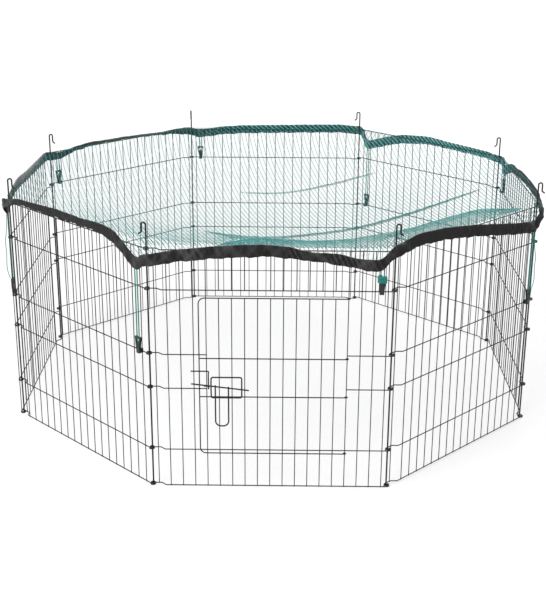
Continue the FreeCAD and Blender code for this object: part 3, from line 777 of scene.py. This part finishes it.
def hem_material(hem):
    """Charcoal woven cloth: fine threads, a painted highlight on the wrinkles' ridges, and lengths painted
    paler for the light on their inner face."""
    material, tree, shader, place = new_material("hem_cloth")
    flat = add_node(tree, "ShaderNodeUVMap", uv_map="cloth").outputs["UV"]
    ridge, lit_face = (add_node(tree, "ShaderNodeAttribute", attribute_name=name).outputs["Fac"]
                    for name in ("ridge", "lit_face"))
    threads = group_mask(tree, "Weave", flat, Threads=420.0)
    cloud = group_mask(tree, "Mottle", place, Scale=26.0)
    dark = shade(hem.colour, 0.7)
    plain = mixed(tree, cloud, dark, shade(hem.colour, 1.5))
    # Painted highlight: the wrinkles' ridges are painted paler
    highlight = mixed(tree, ridge, plain, shade(hem.colour, 4.0, 0.04))
    # Painted light: the lengths where light falls on the hem's inner face are painted paler still
    colour = mixed(tree, lit_face, highlight, shade(hem.colour, 4.0, 0.6))
    thread = mixed(tree, ranged(tree, threads, 0.35, 0.0), colour, dark)
    set_inputs(tree, shader, {"Sheen Weight": 0.1, "Specular IOR Level": 0.25})
    skin(tree, shader, thread, ranged(tree, threads, 0.95, 0.78), threads, 0.35, 0.0003)
    return material


def cord_material(tie):
    """Green braided elastic: slanting plaits on the cord's own map."""
    material, tree, shader, place = new_material("elastic_braid")
    flat = add_node(tree, "ShaderNodeUVMap", uv_map="cloth").outputs["UV"]
    slants = []
    for turn in (0.8, -0.8):
        way = add_node(tree, "ShaderNodeMapping", {"Vector": flat, "Rotation": (0, 0, turn)})
        wave = add_node(tree, "ShaderNodeTexWave", {"Vector": way.outputs["Vector"], "Scale": 210.0})
        slants.append(wave.outputs["Fac"])
    plait = combined(tree, "MAXIMUM", *slants)
    cloud = group_mask(tree, "Mottle", place, Scale=60.0)
    high = mixed(tree, cloud, tie.cord_colour, shade(tie.cord_colour, 1.35))
    colour = mixed(tree, plait, shade(tie.cord_colour, 0.55), high)
    skin(tree, shader, colour, ranged(tree, plait, 0.8, 0.55), plait, 0.5, 0.0003)
    return material


def clip_material(tie):
    """Near-black green moulded plastic: a soft sheen, a fine moulded grain and rubbed spots."""
    material, tree, shader, place = new_material("clip_plastic")
    cloud = group_mask(tree, "Mottle", place, Scale=90.0)
    rubbed = group_mask(tree, "Scuffs", place, Scale=420.0, Amount=0.4)
    plain = mixed(tree, cloud, shade(tie.clip_colour, 0.8), shade(tie.clip_colour, 1.6))
    colour = mixed(tree, rubbed, plain, shade(tie.clip_colour, 6))
    skin(tree, shader, colour, ranged(tree, cloud, 0.34, 0.5), noise(tree, place, 1400.0), 0.1, 0.0002)
    return material


class PETRUN_OT_stage(bpy.types.Operator):
    """Sets the floor, the even light, two soft lamps and the camera"""
    bl_idname = "petrun.stage"
    bl_label = "Studio"

    def execute(self, context):
        stage = context.scene.pet_run.stage
        context.scene.view_settings.view_transform = "Standard"
        self.add_floor()
        self.set_world(context, stage)
        for name, place, size, share in LAMPS:
            self.add_lamp(name, place, size, stage.key * share)
        self.add_camera(context, stage)
        return {"FINISHED"}

    def add_floor(self):
        """A grey floor that a glow brings to white: it grows with the distance from the run, and only the
        rays that seen_rays names meet it."""
        row, column = grid_corners(2, 2)
        ends = (-FLOOR_HALF, FLOOR_HALF)
        points = np.array([(x, y, FLOOR_UP) for y in ends for x in ends])
        floor = new_piece("studio_floor", points, row * 2 + column)
        material, tree, shader, place = new_material("studio_floor")
        away = add_node(tree, "ShaderNodeVectorMath", {0: place}, operation="LENGTH").outputs["Value"]
        glow = combined(tree, "MULTIPLY", self.seen_rays(tree), ranged(tree, away, 0.64, 0.90, 0.5, 5.0))
        set_inputs(tree, shader, {"Base Color": (0.40, 0.40, 0.40, 1), "Roughness": 0.9,
                                  "Specular IOR Level": 0.0, "Emission Color": (1, 1, 1, 1),
                                  "Emission Strength": glow})
        floor.data.materials.append(material)

    def seen_rays(self, tree):
        """1 for what the camera sees, straight, mirrored or through glass."""
        path = add_node(tree, "ShaderNodeLightPath").outputs
        first = combined(tree, "MAXIMUM", path["Is Camera Ray"], path["Is Glossy Ray"])
        return combined(tree, "MAXIMUM", first, path["Is Transmission Ray"])

    def set_world(self, context, stage):
        """White for the camera, a weaker even light for the surfaces."""
        world = bpy.data.worlds.new("studio")
        context.scene.world = world
        world.use_nodes = True
        tree = world.node_tree
        tree.nodes.clear()
        strength = ranged(tree, self.seen_rays(tree), stage.sky, 1.0)
        sky = add_node(tree, "ShaderNodeBackground", {"Color": (1, 1, 1, 1), "Strength": strength})
        add_node(tree, "ShaderNodeOutputWorld", {"Surface": sky.outputs["Background"]})

    def add_lamp(self, name, place, size, power):
        """A square soft lamp that points at the run."""
        lamp = bpy.data.lights.new(name, "AREA")
        lamp.shape, lamp.size, lamp.energy = "SQUARE", size, power
        holder = bpy.data.objects.new(name, lamp)
        bpy.context.scene.collection.objects.link(holder)
        holder.location = place
        holder.rotation_euler = (Vector(LAMP_AIM) - Vector(place)).to_track_quat("-Z", "Y").to_euler()

    def add_camera(self, context, stage):
        """The camera at the photo's angle: turned by the yaw, then tilted down by the pitch, then rolled."""
        data = bpy.data.cameras.new("camera")
        data.lens, data.sensor_width, data.clip_end = stage.lens, 36.0, 60.0
        camera = bpy.data.objects.new("camera", data)
        context.scene.collection.objects.link(camera)
        place = Matrix.Translation(stage.eye)
        for turn, axis in ((stage.yaw, "Z"), (math.pi / 2 - stage.pitch, "X"), (stage.roll, "Z")):
            place = place @ Matrix.Rotation(turn, 4, axis)
        camera.matrix_world = place
        context.scene.camera = camera


class PETRUN_OT_ties(bpy.types.Operator):
    """Makes the elastic cord loops at the corners, two loose tails and the spare cord wound round one clip"""
    bl_idname = "petrun.ties"
    bl_label = "Elastic ties"

    def execute(self, context):
        tie = context.scene.pet_run.tie
        braid = cord_material(tie)
        low = hem_edges()[0]
        for corner, name in enumerate(CORNERS):
            side = (corner - 1) % SIDES
            middle = TIE_PLACES[corner]
            start = float(ring_at(low, side + middle / PANEL_WIDTH)) + CORD_TUCK
            turn = RAIL_HEIGHTS[TIE_RAILS[corner]] + RAIL_STAGGER * (side % 2) + CLIP_BRIDGE
            left, right = middle - CORD_SPREAD / 2, middle + CORD_SPREAD / 2
            route = [(left, 0, start), (left, 0, turn + CORD_EASE), (left, 0, turn),
                     (right, 0, turn), (right, 0, turn + CORD_EASE), (right, 0, start)]
            node = "tie_cord_" + name
            self.add_cord("elastic_" + name, side, route, tie.cord, braid, node, "taut")
            if corner in TAIL_CORNERS:
                drop = turn + TAIL_END - start
                tail = [(middle + tie.slack * TAIL_ASIDE * bow, TAIL_OUT + tie.slack * bow,
                         start + drop * share) for share, bow in TAIL_WAY]
                self.add_cord("elastic_tail_" + name, side, tail, tie.tail, braid, node, "hanging")
        self.add_wrap(tie, braid)
        return {"FINISHED"}

    def add_cord(self, name, side, route, thick, braid, node, lay):
        """One cord along the smooth line of its route, whose points run along the side, out of the hem and
        up."""
        along, out, up = np.array(route).T
        line = smooth_route(on_side(side, along, HEM_OUT + out, up))
        piece = new_piece(name, *tube_mesh(line, thick, CORD_SIDES))
        dressed(piece, braid, node)

    def add_wrap(self, tie, braid):
        """Close turns of spare cord round the clip's head: a squared spiral, a sine wave with its size's
        root each way, that rises evenly."""
        side = (WRAP_CORNER - 1) % SIDES
        base = RAIL_HEIGHTS[TIE_RAILS[WRAP_CORNER]] + CLIP_TALL - WRAP_BELOW + tie.cord / 2
        share = np.arange(WRAP_POINTS * WRAP_TURNS + 1) / WRAP_POINTS
        turn = 2 * math.pi * (share - 0.25)
        along = TIE_PLACES[WRAP_CORNER] + WRAP_LONG * powered(np.cos(turn), 0.5)
        out = WRAP_DEEP * powered(np.sin(turn), 0.5)
        route = np.stack([along, out, base + share * (tie.cord + WRAP_GAP)], 1)
        node = "tie_wrap_" + CORNERS[WRAP_CORNER]
        self.add_cord("elastic_wrap", side, route, tie.cord, braid, node, "coiled")


class PETRUN_OT_wires(bpy.types.Operator):
    """Gives the panels, rods, door and latch their coated finish"""
    bl_idname = "petrun.wires"
    bl_label = "Wire finish"

    def execute(self, context):
        wire = context.scene.pet_run.wire
        for start, lightness in (("panel", 1.0), ("rod", 1.15), ("door", 1.0), ("latch", 0.85)):
            coat = wire_material(start + "_coating", wire, lightness)
            for name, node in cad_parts.items():
                if name.startswith(start):
                    node.data.materials.clear()
                    node.data.materials.append(coat)
        return {"FINISHED"}


class PETRUN_OT_clips(bpy.types.Operator):
    """Makes the clips from their solids, with softened edges"""
    bl_idname = "petrun.clips"
    bl_label = "Clips"

    def execute(self, context):
        plastic = clip_material(context.scene.pet_run.tie)
        for name in CORNERS:
            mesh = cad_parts["tie_clip_" + name].data.copy()
            shell = bmesh.new()
            shell.from_mesh(mesh)
            bmesh.ops.remove_doubles(shell, verts=shell.verts, dist=1e-6)
            bmesh.ops.dissolve_limit(shell, angle_limit=math.radians(2), verts=shell.verts, edges=shell.edges)
            shell.to_mesh(mesh)
            shell.free()
            piece = bpy.data.objects.new("clip_" + name, mesh)
            context.scene.collection.objects.link(piece)
            bevel = piece.modifiers.new("soft_edges", "BEVEL")
            bevel.width, bevel.segments, bevel.limit_method = CLIP_SOFT, 2, "ANGLE"
            dressed(applied(piece), plastic, "tie_clip_" + name)
        return {"FINISHED"}


class PETRUN_OT_hem(bpy.types.Operator):
    """Makes the scalloped cloth hem with its wrinkles and pleats"""
    bl_idname = "petrun.hem"
    bl_label = "Cloth hem"

    columns = 1520
    rows = 26

    def execute(self, context):
        hem = context.scene.pet_run.hem
        pick = np.arange(self.columns) * (ROUND_COUNT // self.columns)
        turn = np.radians(np.linspace(*HEM_LOOP, self.rows))[:, None]
        flare, rise = powered(np.cos(turn), LOOP_FLARE), powered(np.sin(turn), LOOP_RISE)
        relief = self.wrinkles(pick * ROUND_STEP, rise) + self.pleats(pick * ROUND_STEP, rise)
        row, column = grid_corners(self.rows, self.columns, wrap_columns=True)
        around = distances(np.concatenate([flare * hem.thick / 2, rise * HEM_TALL / 2], 1))
        uv = np.stack([column * (ROUND_STEP * ROUND_COUNT / self.columns), around[row]], -1)
        piece = new_piece("cloth_hem", self.surface(hem, pick, flare, rise, relief),
                          row * self.columns + column % self.columns, uv=uv)
        # Painted light: where the hem is painted paler for the light on its inner face
        lit_face = bumps(ROUND[pick], HEM_LIT, 4)
        # Painted highlight: how much paler each wrinkle's ridge is painted
        highlight = relief * round_table(HEM_HIGHLIGHT)[pick] - HIGHLIGHT_LEAST + lit_face
        lit_share = lit_face * (LIT_FLAT + LIT_RIDGE * relief)
        for name, value in (("ridge", highlight), ("lit_face", lit_share)):
            mark = piece.data.attributes.new(name, "FLOAT", "POINT")
            mark.data.foreach_set("value", np.clip(value, 0, 1).astype(np.float32).ravel())
        cloth = piece.modifiers.new("cloth", "SOLIDIFY")
        cloth.thickness, cloth.offset = hem.cloth, 0.0
        dressed(applied(piece), hem_material(hem), "net_hem")
        return {"FINISHED"}

    def surface(self, hem, pick, flare, rise, relief):
        """A flat loop of cloth round the ring. A point lies out by its flare times half the thickness, more
        on the outside where the top is rolled down, and by its relief. It lies up from the hem's middle by
        its rise times half the height that shows, and by the edges' small sine waves, which are strongest
        at the lower edge."""
        plan, outward = rim_plan(HEM_OUT, HEM_BEND)
        low, high = (edge[pick] for edge in hem_edges())
        run = pick * ROUND_STEP
        tall = (high - low) / 2
        roll = 1 + HEM_ROLL * (1 - tall / (HEM_TALL / 2))
        wave = sum(size * np.sin(run * pace + phase) for size, pace, phase in EDGE_WAVES)
        out = hem.thick / 2 * flare * np.where(flare > 0, roll, 1.0)
        out = out + hem.wrinkle * relief * np.clip(flare, INSIDE_RELIEF, 1.0)
        up = (low + high) / 2 + rise * tall + np.where(rise < -0.5, EDGE_LOW, EDGE_HIGH) * wave
        return raised(plan[pick] + outward[pick] * out[..., None], up)

    def wrinkles(self, run, rise):
        """Sharp slanting creases: folded sine waves that fit the ring a whole number of times, strongest by
        the corner ties, where the hem is gathered."""
        whole = 2 * math.pi / (SIDES * PANEL_WIDTH)
        calm = HEM_CALM + sum(size * np.sin(whole * run * count + phase) for count, size, phase in CALM_WAVES)
        total = sum(size * (1 - np.abs(np.sin((whole * count * run + slant * rise + phase) / 2))) ** 2
                    for count, slant, size, phase in HEM_WAVES)
        return total * (calm + bumps((run / PANEL_WIDTH) % 1.0, HEM_GATHERS))

    def pleats(self, run, rise):
        """Narrow slanting folds where the hem is drawn in: a folded sine wave under one bell curve for each
        place."""
        turns = 2 * math.pi * PLEAT_COUNT / (SIDES * PANEL_WIDTH) * run + PLEAT_SLANT * rise
        fold = (1 - np.abs(np.sin(turns / 2))) ** 2 * PLEAT_TALL - PLEAT_SINK
        return bumps(run / PANEL_WIDTH, HEM_PLEATS) * fold


class PETRUN_OT_net(bpy.types.Operator):
    """Makes the net of crossing strands, sagging from the top wires to the middle"""
    bl_idname = "petrun.net"
    bl_label = "Net"

    def execute(self, context):
        net = context.scene.pet_run.net
        strand = net_material("net_strand", net.colour)
        along, starts = np.meshgrid(np.arange(-NET_LONG, NET_LONG, net.step),
                                    np.arange(-NET_WIDE, NET_WIDE, net.mesh_size))
        for name, flat, lift, thick in (
                ("net_deep_strands", self.deep(net, starts, along), 0.0, net.strand),
                ("net_cross_strands", self.cross(net, starts, along), net.strand * CROSS_LIFT, net.cross)):
            piece = new_piece(name, *strand_mesh(*net_points(flat, net, lift), thick))
            dressed(piece, strand, "net_roof")
        return {"FINISHED"}

    def deep(self, net, starts, along):
        """Strands that run from the back to the front, drawn askew: each goes right by the slant, draws in
        towards the middle with the distance, and bends right in step with the distance squared."""
        x = starts * (1 - net.fan * along) + math.tan(net.slant) * along + net.bend * along ** 2
        return np.stack([x, -along], -1)

    def cross(self, net, starts, along):
        """Straight strands from side to side, turned by the slant."""
        return np.stack([starts * math.sin(net.slant) + along * math.cos(net.slant),
                         along * math.sin(net.slant) - starts * math.cos(net.slant)], -1)


class PETRUN_OT_folds(bpy.types.Operator):
    """Makes the net's standing fold, two pinched creases, doubled slack and edge inside the hem"""
    bl_idname = "petrun.folds"
    bl_label = "Net folds"

    def execute(self, context):
        net = context.scene.pet_run.net
        fine = bpy.data.materials["net_strand"]
        # Painted light: the fold and lap materials are the strand material painted paler, for the light that
        # the folded and bunched net catches
        fold, lap = net_material("net_fold_lit", net.lit_fold_colour), net_material("net_lap", net.lit_lap_colour)
        both, one, steep = (1.0, -1.0), (1.0,), (-0.42,)
        under, streaks = hem_lap(2.60, 5.12, 0.0094), hem_lap(2.70, 5.12, 0.0088)
        middle, front = crease(MIDDLE_CREASE, MIDDLE_TALLS, 0.014), crease(FRONT_CREASE, FRONT_TALLS, 0.016)
        for name, surface, pitch, step, leans, thick, fade, ends, material in (
                ("net_ridge_front", front_ridge(False), 0.0060, 0.0060, both, 0.0016, 0.0, 0.030, fold),
                ("net_ridge_back", front_ridge(True), 0.0094, 0.0060, both, 0.0008, 0.0, 0.030, fine),
                ("net_slack_front", slack_front(), 0.0125, 0.0060, both, 0.0012, 0.0, 0.090, fold),
                ("net_slack_left", slack_left(), 0.0066, 0.0060, steep, 0.0019, 0.9, 0.140, fine),
                ("net_crease_middle", middle, 0.0034, 0.0030, both, 0.0007, 0.0, 0.040, fine),
                ("net_crease_front", front, 0.0034, 0.0030, both, 0.0009, 0.0, 0.060, fine),
                ("net_lap_under", under, 0.0064, 0.0040, both, 0.0015, 0.0, 0.300, fine),
                # painted light: the streaks' material is the strand material painted paler
                ("net_lap_streaks", streaks, 0.0112, 0.0040, one, 0.0042, 0.0, 0.300, lap)):
            strands = patch_strands(*surface, pitch, step, leans, thick, fade, ends)
            dressed(new_piece(name, *strand_mesh(*strands)), material, "net_roof")
        return {"FINISHED"}


class PETRUN_OT_declare(bpy.types.Operator):
    bl_idname = "petrun.declare"
    bl_label = "Declare cloth"

    def execute(self, context):
        return {"FINISHED"}


class PETRUN_PT_panel(bpy.types.Panel):
    """Lists the steps that dress the pet run"""
    bl_idname = "PETRUN_PT_panel"
    bl_label = "Pet Run"
    bl_space_type = "VIEW_3D"
    bl_region_type = "UI"
    bl_category = "Pet Run"

    def draw(self, context):
        for step in STEPS:
            self.layout.operator(step.bl_idname)


SETTINGS = (WireSettings, NetSettings, HemSettings, TieSettings, StageSettings, PetRunSettings)
STEPS = (PETRUN_OT_stage, PETRUN_OT_ties, PETRUN_OT_wires, PETRUN_OT_clips, PETRUN_OT_hem, PETRUN_OT_net,
         PETRUN_OT_folds, PETRUN_OT_declare)


def register():
    """Adds the classes and the scene's settings."""
    for item in (*SETTINGS, *STEPS, PETRUN_PT_panel):
        bpy.utils.register_class(item)
    bpy.types.Scene.pet_run = PointerProperty(type=PetRunSettings)


def unregister():
    """Takes the classes and the settings away again."""
    del bpy.types.Scene.pet_run
    for item in reversed((*SETTINGS, *STEPS, PETRUN_PT_panel)):
        bpy.utils.unregister_class(item)


def main():
    """Runs every step in order."""
    register()
    for step in STEPS:
        family, name = step.bl_idname.split(".")
        getattr(getattr(bpy.ops, family), name)()


if __name__ == "__main__":
    main()
